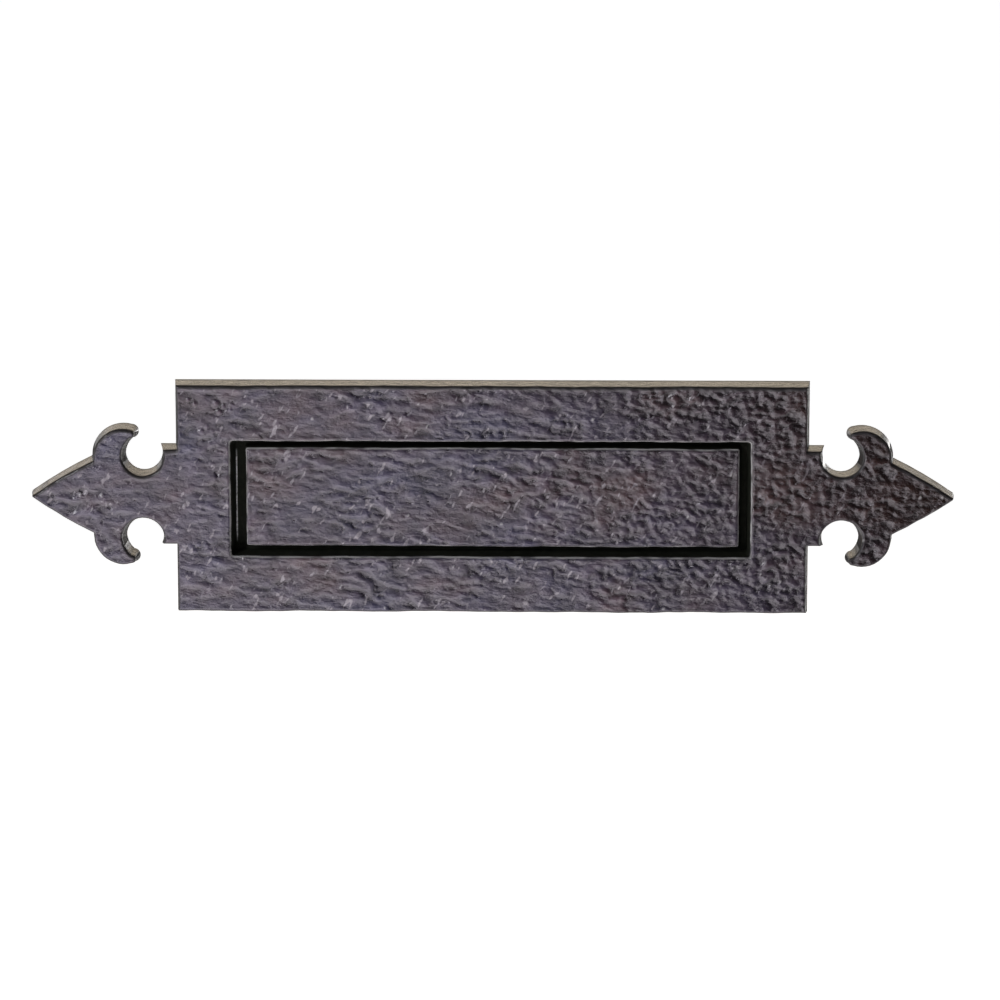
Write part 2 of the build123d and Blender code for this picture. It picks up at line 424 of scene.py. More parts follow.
def strip_front(bm, front_y, walls):
    """Takes the face, its drafted walls and the flat ring behind each off the mesh.

    Returns the face's outlines and a Wall for each, outermost first.
    """
    front = {f for f in bm.faces if all(abs(v.co.y - front_y) < weld_distance for v in f.verts)}
    border = {e for f in front for e in f.edges if sum(n in front for n in e.link_faces) == 1}
    loops = sorted(ordered_loops(border), key=lambda loop: -abs(signed_area(flat_mm(loop))))
    found, outlines, gone = [], [], set(front)
    for k, (loop, (end_y, draft, in_gap)) in enumerate(zip(loops, walls)):
        pairs = zip(loop, loop[1:] + loop[:1])
        seeds = {f for a, b in pairs for e in a.link_edges if b in e.verts for f in e.link_faces}
        wall = wall_patch(seeds - front, front_y, end_y)
        ends = {n for f in wall for e in f.edges for n in e.link_faces} - wall - front
        gone |= wall | coplanar_patch(ends, end_y)
        ring_forward = min(ends, key=lambda f: f.index).normal.y < 0
        rear_edges = {e for f in wall for e in f.edges if any(n in ends for n in e.link_faces)}
        rear = counterclockwise(flat_mm(ordered_loops(rear_edges)[0]))
        outline = counterclockwise(flat_mm(loop))
        outward = 1 if k == 0 else -1
        spread = outward * (end_y - front_y) / MM * tan(radians(draft))
        place, end_xz = paired(outline, rear, spread, edge_spacing_mm)
        found.append(Wall(place, outward, end_xz, end_y, ring_forward, in_gap))
        outlines.append(outline)
    bmesh.ops.delete(bm, geom=list(gone), context="FACES")
    bmesh.ops.delete(bm, geom=[v for v in bm.verts if not v.link_faces], context="VERTS")
    return outlines, found


def cast_face(bm, layers, front_y, outlines, walls, seed, spacing):
    """Adds the hammered face. Returns its vertices, their depth, and their places in mm."""
    extra = face_points([(wall.place, wall.outward) for wall in walls], outlines, spacing)
    coords, faces = triangulated([wall.place for wall in walls], extra, outlines)
    distance = edge_distance(coords, outlines)
    x, z = coords[:, 0], coords[:, 1]
    height, beaded = relief_mm(x, z, seed)
    radius = edge_radius_mm * (1 + 0.5 * noise(x / 9, z / 9, seed + 20))
    short = np.clip(radius - distance, 0, None)
    rounding = radius - np.sqrt(np.clip(radius**2 - short**2, 0, None))
    full_relief = 0.45 + 0.55 * ramp(distance, 0, calm_edge_mm)
    sunk = np.clip(relief_top_mm - height, 0, None) * full_relief
    wander_x, wander_z = edge_wander_mm(x, z, seed + 30)
    shown = np.stack([x + wander_x, z + wander_z], axis=1)
    depth = front_y + (sunk + rounding) * MM
    verts = add_sheet(bm, shown, faces, depth, True)

    # The edges beside the gap get a painted highlight line and bead tops a painted glint. The
    # outer edges get painted shade, most so at the top.
    gap_edges = [outline for outline, wall in zip(outlines, walls) if wall.in_gap]
    open_edges = [outline for outline, wall in zip(outlines, walls) if not wall.in_gap]
    painted_highlight = 1 - ramp(edge_distance(coords, gap_edges), *highlight_fade_mm)
    painted_highlight = painted_highlight * (0.35 + 0.65 * ramp(noise(x / 6, z / 6, seed + 50), -0.4, 0.1))
    painted_highlight = np.maximum(painted_highlight, bead_highlight * beaded)
    edge_shaded = np.zeros(len(x))
    if open_edges:
        below = edge_distance(coords + (0, top_edge_shade_mm), open_edges)
        edge_shaded = 1 - ramp(np.minimum(edge_distance(coords, open_edges), below), *edge_shade_fade_mm)
    for i, vert in enumerate(verts):
        vert[layers.crest] = float(np.clip(0.5 + 0.9 * height[i], 0, 1))
        vert[layers.wear] = float(painted_highlight[i])
        vert[layers.rim] = float(edge_shaded[i])
        for face in vert.link_faces:
            face.smooth = True
    return verts, depth, shown


def cast_wall(bm, layers, wall, top_row, top_y, top_xz, seed):
    """Adds one drafted wall in rows, from the face's edge back to its end. Returns its end row.

    Its faces take the gap's painted shade in the gap, and the sides' darker shaded enamel where
    they don't face upwards.
    """
    away = wall.outward * mitres(wall.place)
    upright = ramp(away[:, 1], upright_from, upright_full)
    count = len(wall.place)
    rows = [top_row]
    for t in wall_steps:
        xz = top_xz * (1 - t) + wall.end_xz * t
        if t < 1:
            u, v = wall.place[:, 0] / 5 + 7 * t, wall.place[:, 1] / 5 + 3 * t
            xz = xz + away * (wall_lump_mm * noise(u, v, seed + 40) * 4 * t * (1 - t))[:, None]
        y = top_y * (1 - t) + wall.end_y * t
        row = [bm.verts.new((p[0] * MM, q, p[1] * MM)) for p, q in zip(xz, y)]
        for vert, leaning in zip(row, upright):
            vert[layers.crest], vert[layers.back] = wall_shade_crest, float(t == 1)
            vert[layers.rim] = 0.0 if wall.in_gap else 0.8 * (1 - float(leaning))
        rows.append(row)
    for upper, lower in zip(rows, rows[1:]):
        for i in range(count):
            j = (i + 1) % count
            quad = [upper[i], lower[i], lower[j], upper[j]]
            face = bm.faces.new(quad if wall.outward > 0 else quad[::-1])
            face.smooth = True
            if wall.in_gap:
                face.material_index = int(upper is not top_row)
            elif away[i, 1] < upright_from:
                face.material_index = 2
    return rows[-1]


def close_ring(bm, layers, wall, end_row, open_loops):
    """Adds the flat ring between a wall's end and the part of the CAD mesh that stays."""
    rings = [flat_mm(loop) for loop in open_loops if abs(loop[0].co.y - wall.end_y) < weld_distance]
    rings = [ring for ring in rings if np.ptp(ring[:, 0]) > smallest_ring_mm]
    coords, faces = triangulated([wall.end_xz, *rings], [], [wall.end_xz, *rings])
    ring = add_sheet(bm, coords, faces, [wall.end_y] * len(coords), wall.ring_forward)
    # Rings that face forwards stand in the gap and take its painted-shade material.
    for vert in ring:
        vert[layers.crest], vert[layers.back] = 0.5, 1.0
        for face in vert.link_faces:
            face.material_index = int(wall.ring_forward)
    for edge in {e for v in end_row + ring for e in v.link_edges}:
        if all(abs(v.co.y - wall.end_y) < weld_distance for v in edge.verts):
            edge.smooth = True


def recast(node, name, front_y, walls, seed, spacing):
    """A copy of a CAD node whose face is cast: dense, hammered, and rounded at its edges.

    walls gives, for the outer loop and then any opening, where its drafted wall ends in y, the
    draft in degrees and whether it stands in the narrow gap round the flap. Everything behind
    those walls stays as it is in the frame.
    """
    bm = bmesh.new()
    bm.from_mesh(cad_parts[node].data)
    bmesh.ops.remove_doubles(bm, verts=bm.verts, dist=weld_distance)
    bm.normal_update()
    bm.edges.index_update()
    outlines, found = strip_front(bm, front_y, walls)
    for face in bm.faces:
        face.smooth = True
    mark_creases(bm, 25)
    layers = Layers(*(bm.verts.layers.float.new(layer) for layer in Layers._fields))
    for vert in bm.verts:
        vert[layers.crest], vert[layers.back] = 0.5, 1.0
    open_loops = ordered_loops([e for e in bm.edges if e.is_boundary])

    verts, depth, shown = cast_face(bm, layers, front_y, outlines, found, seed, spacing)
    first = 0
    for wall in found:
        edge = slice(first, first + len(wall.place))
        end_row = cast_wall(bm, layers, wall, verts[edge], depth[edge], shown[edge], seed)
        close_ring(bm, layers, wall, end_row, open_loops)
        first = edge.stop

    bmesh.ops.remove_doubles(bm, verts=bm.verts, dist=weld_distance)
    bm.normal_update()
    for edge in bm.edges:
        behind = min(v[layers.back] for v in edge.verts) > 0.9
        if behind and edge.is_manifold and edge.calc_face_angle(0) > radians(35):
            edge.smooth = False
    return new_piece(name, bm)


def new_piece(name, bm):
    mesh = bpy.data.meshes.new(name)
    bm.to_mesh(mesh)
    bm.free()
    piece = bpy.data.objects.new(name, mesh)
    bpy.context.scene.collection.objects.link(piece)
    return piece


# ---------------------------------------------------------------- materials
def material(name, base, roughness, metallic=0.0):
    """A new material with its shader, ready for more nodes."""
    made = bpy.data.materials.new(name)
    made.use_nodes = True
    shader = made.node_tree.nodes["Principled BSDF"]
    shader.inputs["Base Color"].default_value = (*base, 1)
    shader.inputs["Roughness"].default_value = roughness
    shader.inputs["Metallic"].default_value = metallic
    return made, shader


class Nodes:
    """Adds nodes to one material, all reading its object's own coordinates."""

    def __init__(self, made):
        self.tree = made.node_tree
        self.place = self.tree.nodes.new("ShaderNodeTexCoord").outputs["Object"]

    def link(self, source, target):
        self.tree.links.new(source, target)

    def noise(self, scale, detail=3.0, roughness=0.5, stretch=(1, 1, 1), turn=0, offset=0):
        """Noise of scale features a metre, longer by stretch and turned about Y by turn degrees."""
        mapping = self.tree.nodes.new("ShaderNodeMapping")
        mapping.vector_type = "TEXTURE"
        mapping.inputs["Scale"].default_value = stretch
        mapping.inputs["Rotation"].default_value = (0, radians(turn), 0)
        mapping.inputs["Location"].default_value = (offset, offset, offset)
        self.link(self.place, mapping.inputs["Vector"])
        texture = self.tree.nodes.new("ShaderNodeTexNoise")
        texture.inputs["Scale"].default_value = scale
        texture.inputs["Detail"].default_value = detail
        texture.inputs["Roughness"].default_value = roughness
        self.link(mapping.outputs["Vector"], texture.inputs["Vector"])
        return texture.outputs["Fac"]

    def ramp(self, value, stops):
        node = self.tree.nodes.new("ShaderNodeValToRGB")
        while len(node.color_ramp.elements) < len(stops):
            node.color_ramp.elements.new(0.5)
        for element, (place, colour) in zip(node.color_ramp.elements, stops):
            element.position = place
            element.color = (*colour, 1) if len(colour) == 3 else colour
        self.link(value, node.inputs["Fac"])
        return node.outputs["Color"]

    def grey(self, value, low, high, start=0.3, end=0.7):
        """value, from start to end, mapped to low to high."""
        node = self.tree.nodes.new("ShaderNodeMapRange")
        node.inputs["From Min"].default_value = start
        node.inputs["From Max"].default_value = end
        node.inputs["To Min"].default_value = low
        node.inputs["To Max"].default_value = high
        self.link(value, node.inputs["Value"])
        return node.outputs["Result"]

    def mix(self, factor, a, b, kind="MIX"):
        node = self.tree.nodes.new("ShaderNodeMix")
        node.data_type = "RGBA"
        node.blend_type = kind
        for socket, value in ((0, factor), (6, a), (7, b)):
            if isinstance(value, bpy.types.NodeSocket):
                self.link(value, node.inputs[socket])
            elif isinstance(value, tuple):
                node.inputs[socket].default_value = (*value, 1)
            else:
                node.inputs[socket].default_value = value
        return node.outputs[2]

    def maths(self, kind, *values):
        node = self.tree.nodes.new("ShaderNodeMath")
        node.operation = kind
        for socket, value in zip(node.inputs, values):
            if isinstance(value, bpy.types.NodeSocket):
                self.link(value, socket)
            else:
                socket.default_value = value
        return node.outputs["Value"]

    def attribute(self, name):
        node = self.tree.nodes.new("ShaderNodeAttribute")
        node.attribute_name = name
        return node.outputs["Fac"]

    def axis(self, letter):
        node = self.tree.nodes.new("ShaderNodeSeparateXYZ")
        self.link(self.place, node.inputs["Vector"])
        return node.outputs[letter]

    def bump(self, height, distance, strength=1.0, under=None):
        node = self.tree.nodes.new("ShaderNodeBump")
        node.inputs["Strength"].default_value = strength
        node.inputs["Distance"].default_value = distance
        self.link(height, node.inputs["Height"])
        if under is not None:
            self.link(under, node.inputs["Normal"])
        return node.outputs["Normal"]


def cast_enamel():
    """Black enamel on cast iron: blue-grey where smooth and brown-black elsewhere, with painted
    shade in hollows and on edges, and painted highlights on crests, beads and specks.
    """
    made, shader = material("cast_enamel", (0.05, 0.04, 0.05), 0.3)
    nodes = Nodes(made)
    blotch = nodes.noise(42, 4, 0.55, stretch=(1.7, 1, 1))
    tint = nodes.ramp(blotch, [
        (0.36, (0.028, 0.026, 0.048)),
        (0.50, (0.036, 0.029, 0.045)),
        (0.66, (0.048, 0.029, 0.034)),
    ])

    # The enamel turns brown and darker towards the right end, on a slant: the brown is its own
    # colour, the darkening is painted shade.
    slanted = nodes.maths("MULTIPLY_ADD", nodes.axis("Z"), 0.7, nodes.axis("X"))
    side = nodes.grey(slanted, 0.0, 1.0, 0.02, 0.2)
    tint = nodes.mix(side, tint, (0.016, 0.007, 0.004))
    # Painted shade in the hollows and painted light on the crests, from each vertex's height.
    crest = nodes.attribute("crest")
    painted_crest_light = nodes.mix(nodes.grey(crest, 0.0, 1.0, 0.2, 0.85), (0.35, 0.35, 0.35), (1.5, 1.5, 1.5))
    colour = nodes.mix(1.0, tint, painted_crest_light, "MULTIPLY")

    # Pale specks of painted glint, few at the right end and none on the back.
    back, rim = nodes.attribute("back"), nodes.attribute("rim")
    cast = nodes.maths("SUBTRACT", 1.0, back)
    painted_speck = nodes.grey(nodes.noise(430, 1, 0.5, (2.2, 1, 1), -60, 5), 0.0, 0.75, 0.66, 0.74)
    painted_speck = nodes.maths("MULTIPLY", painted_speck, nodes.maths("MULTIPLY_ADD", side, -0.75, 1.0))
    colour = nodes.mix(nodes.maths("MULTIPLY", painted_speck, cast), colour, (0.2, 0.18, 0.2))

    # Painted shade on the outer edges and the sides, a painted highlight beside the gap and on
    # bead tops, and raw casting with a little rust behind.
    colour = nodes.mix(rim, colour, (0.006, 0.005, 0.005))
    colour = nodes.mix(nodes.attribute("wear"), colour, (0.42, 0.41, 0.41))
    rust = nodes.noise(160, 5, 0.62, offset=3)
    raw = nodes.ramp(rust, [(0.35, (0.026, 0.025, 0.026)), (0.6, (0.050, 0.044, 0.041)),
                            (0.74, (0.095, 0.055, 0.034))])
    colour = nodes.mix(back, colour, raw)
    nodes.link(colour, shader.inputs["Base Color"])

    gloss = nodes.grey(nodes.noise(230, 4, 0.6), 0.12, 0.28)
    gloss = nodes.mix(rim, gloss, (0.6, 0.6, 0.6))
    dull = nodes.grey(rust, 0.5, 0.72)
    nodes.link(nodes.mix(back, gloss, dull), shader.inputs["Roughness"])
    peel = nodes.bump(nodes.noise(1300, 3, 0.6, stretch=(1.4, 1, 1)), 0.00022, 0.8)
    dimple = nodes.bump(nodes.noise(520, 4, 0.62, stretch=(1.7, 1, 1)), 0.0007, 0.8, peel)
    streak = nodes.grey(nodes.noise(300, 2, 0.5, stretch=(3, 1, 1), turn=10), 1.0, 0.0, 0.56, 0.74)
    streaks = nodes.bump(nodes.maths("MULTIPLY", streak, cast), 0.00035, 0.6, dimple)
    sand = nodes.maths("MULTIPLY", nodes.noise(800, 4, 0.7), back)
    nodes.link(nodes.bump(sand, 0.0005, 0.7, streaks), shader.inputs["Normal"])
    shader.inputs["IOR"].default_value = 1.52
    shader.inputs["Specular Tint"].default_value = (1.0, 0.93, 1.0, 1)
    shader.inputs["Coat Weight"].default_value = 0.25
    shader.inputs["Coat Roughness"].default_value = 0.1
    return made


def shaded_side_enamel():
    """A darker, duller copy of the enamel: painted shade on the sides of the casting that don't
    face upwards.
    """
    made, shader = material("shaded_side_enamel", (0.02, 0.018, 0.017), 0.7)
    nodes = Nodes(made)
    cloud = nodes.noise(150, 5, 0.62)
    colour = nodes.ramp(cloud, [(0.3, (0.010, 0.009, 0.009)), (0.55, (0.024, 0.021, 0.021)),
                                (0.75, (0.045, 0.034, 0.028))])
    nodes.link(colour, shader.inputs["Base Color"])
    nodes.link(nodes.grey(cloud, 0.62, 0.8), shader.inputs["Roughness"])
    fine = nodes.bump(nodes.noise(900, 4, 0.65), 0.0004, 0.8)
    nodes.link(nodes.bump(nodes.noise(260, 3, 0.6), 0.001, 0.7, fine), shader.inputs["Normal"])
    shader.inputs["Specular IOR Level"].default_value = 0.05
    return made


# The painted highlight line in the gap, where the flap's flange meets the opening: from and to
# in X, its half height in Z with the place where it has faded away, and how soft its long edges
# are.
highlight_x = (-111.7 * MM, -111.3 * MM)
highlight_z = (16 * MM, 21 * MM)
highlight_softness = 0.15 * MM


def gap_shade_enamel():
    """Painted shade, near black, in the narrow gap round the flap, with a painted highlight line
    where the flap's flange meets the opening's left edge."""
    made, shader = material("gap_shade_enamel", (0.004, 0.004, 0.003), 0.7)
    nodes = Nodes(made)
    cloud = nodes.noise(260, 4, 0.6)
    painted_gap_shade = nodes.ramp(cloud, [(0.3, (0.005, 0.006, 0.004)), (0.7, (0.016, 0.017, 0.013))])
    left, right = highlight_x
    past = nodes.grey(nodes.axis("X"), 0.0, 1.0, left - highlight_softness, left)
    short = nodes.grey(nodes.axis("X"), 1.0, 0.0, right, right + highlight_softness)
    reach = nodes.grey(nodes.maths("ABSOLUTE", nodes.axis("Z")), 1.0, 0.0, *highlight_z)
    painted_highlight = nodes.maths("MULTIPLY", nodes.maths("MULTIPLY", past, short), reach)
    fine = nodes.noise(700, 3, 0.6)
    highlight_colour = nodes.ramp(fine, [(0.35, (0.18, 0.18, 0.18)), (0.6, (0.6, 0.6, 0.62))])
    nodes.link(nodes.mix(painted_highlight, painted_gap_shade, highlight_colour), shader.inputs["Base Color"])
    nodes.link(nodes.grey(cloud, 0.6, 0.8), shader.inputs["Roughness"])
    nodes.link(nodes.bump(fine, 0.0002, 0.6), shader.inputs["Normal"])
    shader.inputs["Specular IOR Level"].default_value = 0.05
    return made


def plated_steel(name, base, roughness, tint, drawn=(1, 1, 1)):
    """Zinc-plated or bare steel: drawing lines, faint handling marks and a little tint."""
    made, shader = material(name, base, roughness, 1.0)
    nodes = Nodes(made)
    cloud = nodes.noise(210, 4, 0.6)
    nodes.link(nodes.ramp(cloud, [(0.35, base), (0.7, tint)]), shader.inputs["Base Color"])
    lines = nodes.noise(1500, 3, 0.6, stretch=drawn)
    worn = nodes.grey(nodes.noise(520, 4, 0.6), roughness - 0.08, roughness + 0.14)
    nodes.link(worn, shader.inputs["Roughness"])
    nodes.link(nodes.bump(lines, 0.00008, 0.6), shader.inputs["Normal"])
    return made


def moulded_nylon():
    """Off-white nylon with a faint moulded grain."""
    made, shader = material("moulded_nylon", (0.72, 0.70, 0.62), 0.48)
    nodes = Nodes(made)
    cloud = nodes.noise(300, 3, 0.5)
    colour = nodes.ramp(cloud, [(0.3, (0.66, 0.64, 0.55)), (0.7, (0.78, 0.76, 0.70))])
    nodes.link(colour, shader.inputs["Base Color"])
    nodes.link(nodes.grey(cloud, 0.4, 0.56), shader.inputs["Roughness"])
    nodes.link(nodes.bump(nodes.noise(2200, 2, 0.5), 0.00005, 0.5), shader.inputs["Normal"])
    return made


enamel = cast_enamel()
gap_shade_material = gap_shade_enamel()
sides = shaded_side_enamel()
zinc = plated_steel("zinc_plate", (0.60, 0.60, 0.58), 0.30, (0.68, 0.64, 0.50))
drawn_rod = plated_steel("drawn_steel", (0.50, 0.50, 0.50), 0.28, (0.58, 0.56, 0.52), (20, 1, 1))
spring_wire = plated_steel("spring_wire", (0.30, 0.29, 0.28), 0.30, (0.42, 0.36, 0.28))
nylon = moulded_nylon()


# ---------------------------------------------------------------- turned pieces
def lathe(name, profile, centre, axis, sides=96):
    """A closed profile of (radius, along) points in mm, turned about an axis through centre."""
    bm = bmesh.new()
    rings = []
    for k in range(sides):
        turn = 2 * pi * k / sides
        ring = []
        for radius, along in profile:
            a, b = radius * cos(turn) * MM, radius * sin(turn) * MM
            offset = (along * MM, a, b) if axis == "X" else (a, along * MM, b)
            ring.append(bm.verts.new(Vector(offset) + centre))
        rings.append(ring)
    count = len(profile)
    for k in range(sides):
        here, there = rings[k], rings[(k + 1) % sides]
        for i in range(count):
            j = (i + 1) % count
            bm.faces.new((here[i], here[j], there[j], there[i])).smooth = True
    bmesh.ops.remove_doubles(bm, verts=bm.verts, dist=weld_distance)
    bmesh.ops.recalc_face_normals(bm, faces=bm.faces)
    mark_creases(bm, 40)
    return new_piece(name, bm)


def rounded_section(inner, outer, low, high, edge):
    """A washer's section in mm, with its four corners rounded off in two steps."""
    near = edge * 0.3
    return [
        (inner + edge, low), (outer - edge, low), (outer - near, low + near), (outer, low + edge),
        (outer, high - edge), (outer - near, high - near), (outer - edge, high),
        (inner + edge, high), (inner + near, high - near), (inner, high - edge),
        (inner, low + edge), (inner + near, low + near),
    ]


def middle(node):
    low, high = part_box(node)
    return (low + high) / 2


def ring_piece(node, name, axis, bore, edge, made):
    """A round washer in place of its CAD node."""
    low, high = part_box(node)
    size = (high - low) / MM
    thickness, outer = (size.x, size.z / 2) if axis == "X" else (size.y, size.z / 2)
    section = rounded_section(bore, outer, -thickness / 2, thickness / 2, edge)
    piece = lathe(name, section, middle(node), axis)
    return dress(piece, node, made)


def dress(piece, node, made, body="plate_body"):
    """Material, slot and body of a piece that stands for one CAD node."""
    piece.data.materials.append(made)
    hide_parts(node)
    if body:
        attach(piece, body)
    return piece


# ---------------------------------------------------------------- threaded studs and nuts, in mm
thread_pitch = 1.0
thread_steps = 8
thread_depth = 0.52
thread_crest = 2.98
stud_sides = 48
stud_end_chamfer = 1.0
shank_radius = 3.0
shank_end = 32.0
shank_runout = 1.2
nut_flats = 10.0
nut_sides = 144
nut_bore = 2.75
nut_countersink = 0.45
nut_face_inset = 0.2
nut_chamfer_angle = 30


def thread_radius(turn, y, start, end):
    """Radius in mm of a V thread at an angle and place, running out before its start."""
    phase = (y / thread_pitch - turn / (2 * pi)) % 1.0
    groove = np.clip(abs(phase - 0.5) * 2 * 1.25 - 0.12, 0, 1)
    runout = np.clip((y - start) / shank_runout, 0, 1)
    radius = thread_crest - thread_depth * (1 - groove) * runout
    tip = stud_end_chamfer - np.clip(end - y, 0, stud_end_chamfer)
    return np.minimum(radius, thread_crest - 0.85 * tip)


def stud_piece(node, name):
    """A stud with a plain shank and a real helical thread behind it."""
    low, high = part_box(node)
    centre = middle(node)
    start, end = low.y / MM, high.y / MM
    sides, step = stud_sides, thread_pitch / thread_steps
    shank = [start, start + 0.3, *np.linspace(start + 6, shank_end, 6)]
    thread = np.arange(shank_end + step, end, step)
    stations = [(y, False) for y in shank] + [(y, True) for y in thread] + [(end, True)]
    bm = bmesh.new()
    rings = []
    for y, threaded in stations:
        ring = []
        for k in range(sides):
            turn = 2 * pi * k / sides
            radius = thread_radius(turn, y, shank_end, end) if threaded else shank_radius
            spot = (centre.x + radius * cos(turn) * MM, y * MM, centre.z + radius * sin(turn) * MM)
            ring.append(bm.verts.new(spot))
        rings.append(ring)
    for here, there in zip(rings, rings[1:]):
        for k in range(sides):
            j = (k + 1) % sides
            bm.faces.new((here[k], there[k], there[j], here[j])).smooth = True
    bm.faces.new(rings[0])
    bm.faces.new(rings[-1][::-1])
    bmesh.ops.recalc_face_normals(bm, faces=bm.faces)
    mark_creases(bm, 40)
    return dress(new_piece(name, bm), node, zinc)


def nut_piece(node, name):
    """A hexagon nut, chamfered to a circle on both faces, with a countersunk bore."""
    low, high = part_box(node)
    centre = middle(node)
    y0, y1 = low.y / MM, high.y / MM
    sides, flat = nut_sides, nut_flats / 2
    slope, face_radius = tan(radians(nut_chamfer_angle)), nut_flats / 2 - nut_face_inset
    mouth = nut_bore + nut_countersink
    bm = bmesh.new()
    rings = []
    for k in range(sides):
        turn = 2 * pi * k / sides
        from_flat = (turn % (pi / 3)) - pi / 6
        corner = flat / cos(from_flat)
        drop = (corner - face_radius) * slope
        section = [
            (nut_bore, y0 + 0.5), (mouth, y0), (face_radius, y0), (corner, y0 + drop),
            (corner, y1 - drop), (face_radius, y1), (mouth, y1), (nut_bore, y1 - 0.5),
        ]
        turned = turn + pi / 6
        rings.append([
            bm.verts.new((centre.x + r * sin(turned) * MM, y * MM, centre.z + r * cos(turned) * MM))
            for r, y in section
        ])
    for k in range(sides):
        here, there = rings[k], rings[(k + 1) % sides]
        for i in range(len(here)):
            j = (i + 1) % len(here)
            bm.faces.new((here[i], here[j], there[j], there[i])).smooth = True
    bmesh.ops.recalc_face_normals(bm, faces=bm.faces)
    mark_creases(bm, 22)
    return dress(new_piece(name, bm), node, zinc)


# ---------------------------------------------------------------- copies of CAD pieces
def softened_copy(node, name, width, made, body="plate_body"):
    """A CAD node's mesh in a new piece, with its sharp edges bevelled when width isn't zero."""
    bm = bmesh.new()
    bm.from_mesh(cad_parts[node].data)
    bmesh.ops.remove_doubles(bm, verts=bm.verts, dist=weld_distance)
    if width:
        bmesh.ops.dissolve_limit(bm, angle_limit=radians(1), verts=bm.verts, edges=bm.edges)
        sharp = [e for e in bm.edges if e.is_manifold and e.calc_face_angle(0) > radians(40)]
        bmesh.ops.bevel(bm, geom=sharp, offset=width, segments=2, profile=0.6, affect="EDGES",
                        clamp_overlap=True)
    for face in bm.faces:
        face.smooth = True
    mark_creases(bm, 35)
    return dress(new_piece(name, bm), node, made, body)


def spring_piece(node, name):
    """A torsion spring copied from its CAD node, fixed where it stands and joined to no body."""
    piece = softened_copy(node, name, 0, spring_wire, None)
    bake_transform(piece)
    return piece


# ---------------------------------------------------------------- the pieces
plate_seed = 100
plate_walls = [(0.0, outer_draft, False), (land_y, opening_draft, True)]
plate = recast("plate", "plate_casting", plate_front_y, plate_walls, plate_seed, face_spacing_mm)
dress(plate, "plate", enamel)
plate.data.materials.append(gap_shade_material)
plate.data.materials.append(sides)

flap_seed = 300
flap_walls = [(flange_front_y, flap_draft, True)]
flap = recast("flap", "flap_casting", flap_front_y, flap_walls, flap_seed, face_spacing_mm)
dress(flap, "flap", enamel, "flap_body")
flap.data.materials.append(gap_shade_material)

softened_copy("hinge_rod", "hinge_rod_drawn", 0, drawn_rod)
for side, hand in ((-1, "left"), (1, "right")):
    spring_piece(f"spring_{hand}", f"spring_coil_{hand}")
    softened_copy(f"rod_clip_{hand}", f"push_clip_{hand}", 0.12 * MM, zinc)
    ring_piece(f"thrust_washer_{hand}", f"nylon_washer_{hand}", "X", 2.2, 0.18, nylon)
    ring_piece(f"door_washer_{hand}", f"flat_washer_{hand}", "Y", 3.25, 0.3, zinc)
    stud_piece(f"stud_{hand}", f"threaded_stud_{hand}")
    nut_piece(f"door_nut_{hand}", f"hex_nut_{hand}")


# ---------------------------------------------------------------- stage
floor_z = -0.6
floor_size = 60
floor_glow = 0.97

# How bright the surroundings are beside their pale middle, and between which heights and
# sideways directions they fade to that.
sky_dim = 0.06
sky_fade_up = (0.06, 0.17)
sky_fade_sideways = (0.3, 0.75)

flag_y = -0.75
flag_x = (0.135, 1.1)
flag_top = 0.5

# Softboxes: name, place, what each is aimed at, width, height, power in W, and colour.
SOFTBOXES = [
    ("behind", (-0.3, 2.4, 1.05), (0, 0, 0), 3.2, 1.3, 18, (1.0, 0.87, 0.68)),
    ("from_left", (-1.2, -1.5, 0.75), (0, 0, 0), 0.35, 0.7, 24, (0.96, 0.97, 1.0)),
    ("low_front", (-0.3, -0.75, -0.5), (0, 0, 0), 1.0, 0.25, 3, (0.97, 0.95, 1.0)),
    ("warm_right", (1.0, -1.0, 0.35), (0.15, 0, 0), 0.4, 0.4, 14, (1.0, 0.68, 0.42)),
    ("rear_fill", (0.5, 1.8, -0.3), (0, 0, 0), 1.2, 0.6, 14, (1.0, 0.98, 0.96)),
]


def plain_floor():
    """A plain pale floor, well below the plate."""
    bpy.ops.mesh.primitive_plane_add(size=floor_size, location=(0, 0, floor_z))
    floor = bpy.context.object
    floor.name = "floor"
    made, shader = material("pale_floor", (0.86, 0.86, 0.86), 0.9)
    shader.inputs["Emission Color"].default_value = (1, 1, 1, 1)
    shader.inputs["Emission Strength"].default_value = floor_glow
    nodes = Nodes(made)
    cloud = nodes.noise(0.5, 2, 0.5)
    colour = nodes.ramp(cloud, [(0.3, (0.85, 0.85, 0.85)), (0.7, (0.87, 0.87, 0.87))])
    nodes.link(colour, shader.inputs["Base Color"])
    floor.data.materials.append(made)


def softbox(name, place, aim, width, height, power, colour):
    """A soft rectangular studio light at place, turned to shine at aim."""
    data = bpy.data.lights.new(name, "AREA")
    data.shape = "RECTANGLE"
    data.size, data.size_y = width, height
    data.energy = power
    data.color = colour
    light = bpy.data.objects.new(name, data)
    light.location = place
    light.visible_camera = False
    light.rotation_euler = (Vector(aim) - Vector(place)).to_track_quat("-Z", "Y").to_euler()
    bpy.context.scene.collection.objects.link(light)


def dark_flag():
    """A dark card, hidden from the camera, that keeps the floor's light off the right end."""
    mesh = bpy.data.meshes.new("dark_flag")
    near, far = flag_x
    around = ((near, floor_z), (far, floor_z), (far, flag_top), (near, flag_top))
    mesh.from_pydata([(x, flag_y, z) for x, z in around], [], [(0, 1, 2, 3)])
    made, _ = material("dark_card", (0.01, 0.01, 0.01), 0.9)
    mesh.materials.append(made)
    card = bpy.data.objects.new("dark_flag", mesh)
    card.visible_camera = False
    bpy.context.scene.collection.objects.link(card)


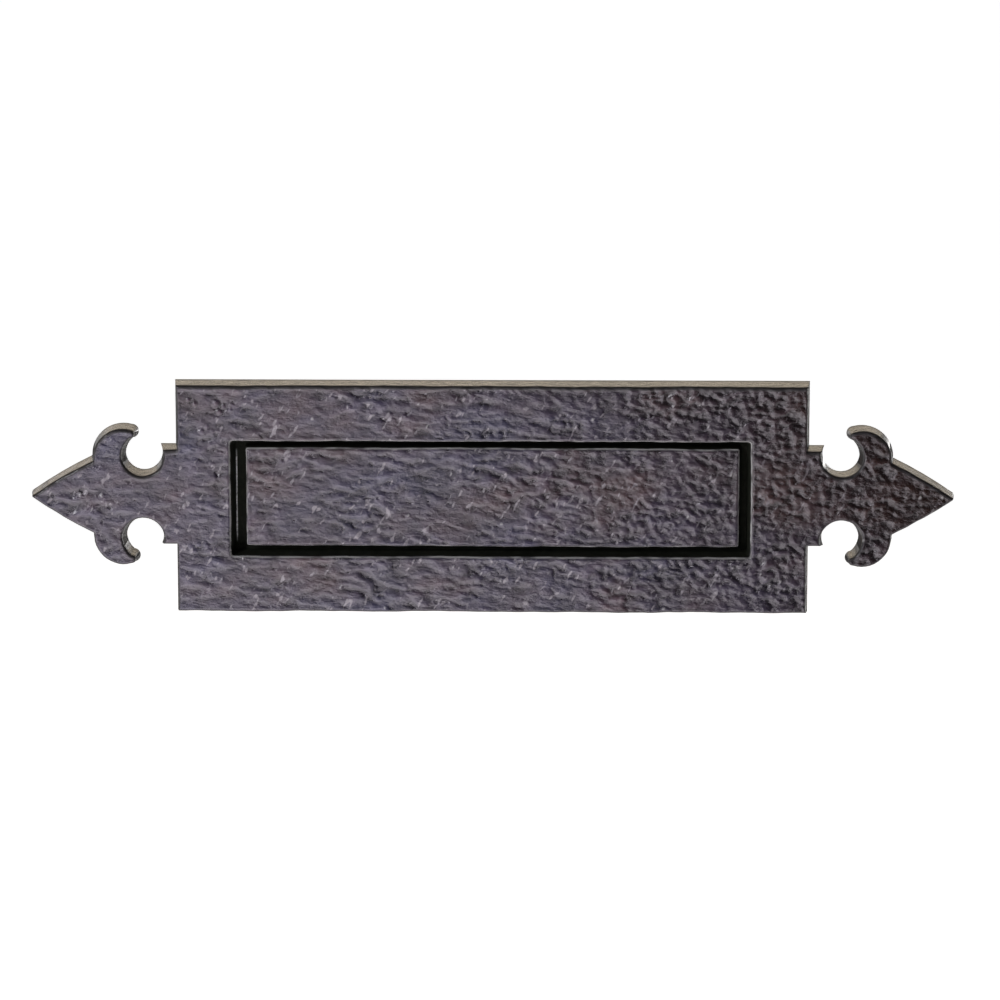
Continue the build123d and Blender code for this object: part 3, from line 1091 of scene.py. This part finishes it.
def surroundings():
    """Pale near the horizon in front and behind, dim above and to the sides.

    The camera itself sees them pale all round, like the floor.
    """
    world = bpy.data.worlds.new("studio")
    world.use_nodes = True
    tree = world.node_tree
    background = tree.nodes["Background"]
    background.inputs["Color"].default_value = (1.0, 0.985, 0.97, 1)

    def fade(value, start, end):
        node = tree.nodes.new("ShaderNodeMapRange")
        node.interpolation_type = "SMOOTHSTEP"
        node.inputs["From Min"].default_value = start
        node.inputs["From Max"].default_value = end
        node.inputs["To Min"].default_value = 1.0
        node.inputs["To Max"].default_value = sky_dim
        tree.links.new(value, node.inputs["Value"])
        return node.outputs["Result"]

    def maths(kind, *values):
        node = tree.nodes.new("ShaderNodeMath")
        node.operation = kind
        for socket, value in zip(node.inputs, values):
            tree.links.new(value, socket)
        return node.outputs["Value"]

    direction = tree.nodes.new("ShaderNodeTexCoord").outputs["Generated"]
    parts = tree.nodes.new("ShaderNodeSeparateXYZ")
    tree.links.new(direction, parts.inputs["Vector"])
    upwards = fade(parts.outputs["Z"], *sky_fade_up)
    sideways = fade(maths("ABSOLUTE", parts.outputs["X"]), *sky_fade_sideways)
    seen = tree.nodes.new("ShaderNodeLightPath").outputs["Is Camera Ray"]
    strength = maths("MAXIMUM", maths("MULTIPLY", upwards, sideways), seen)
    tree.links.new(strength, background.inputs["Strength"])
    bpy.context.scene.world = world


def photograph_camera():
    """The photograph's view: nearly square on, from slightly above."""
    distance, azimuth, elevation = 2.0, radians(1.0), radians(10.8)
    view_width = 0.4365
    aim = Vector((0.0034, 0, -0.002))
    data = bpy.data.cameras.new("photograph")
    data.sensor_width = 36
    data.lens = data.sensor_width * distance / view_width
    camera = bpy.data.objects.new("photograph", data)
    back = Vector((sin(azimuth) * cos(elevation), -cos(azimuth) * cos(elevation), sin(elevation)))
    camera.location = aim + back * distance
    camera.rotation_euler = (-back).to_track_quat("-Z", "Y").to_euler()
    bpy.context.scene.collection.objects.link(camera)
    bpy.context.scene.camera = camera


plain_floor()
surroundings()
for box in SOFTBOXES:
    softbox(*box)
dark_flag()
photograph_camera()
bpy.context.scene.view_settings.view_transform = "Standard"
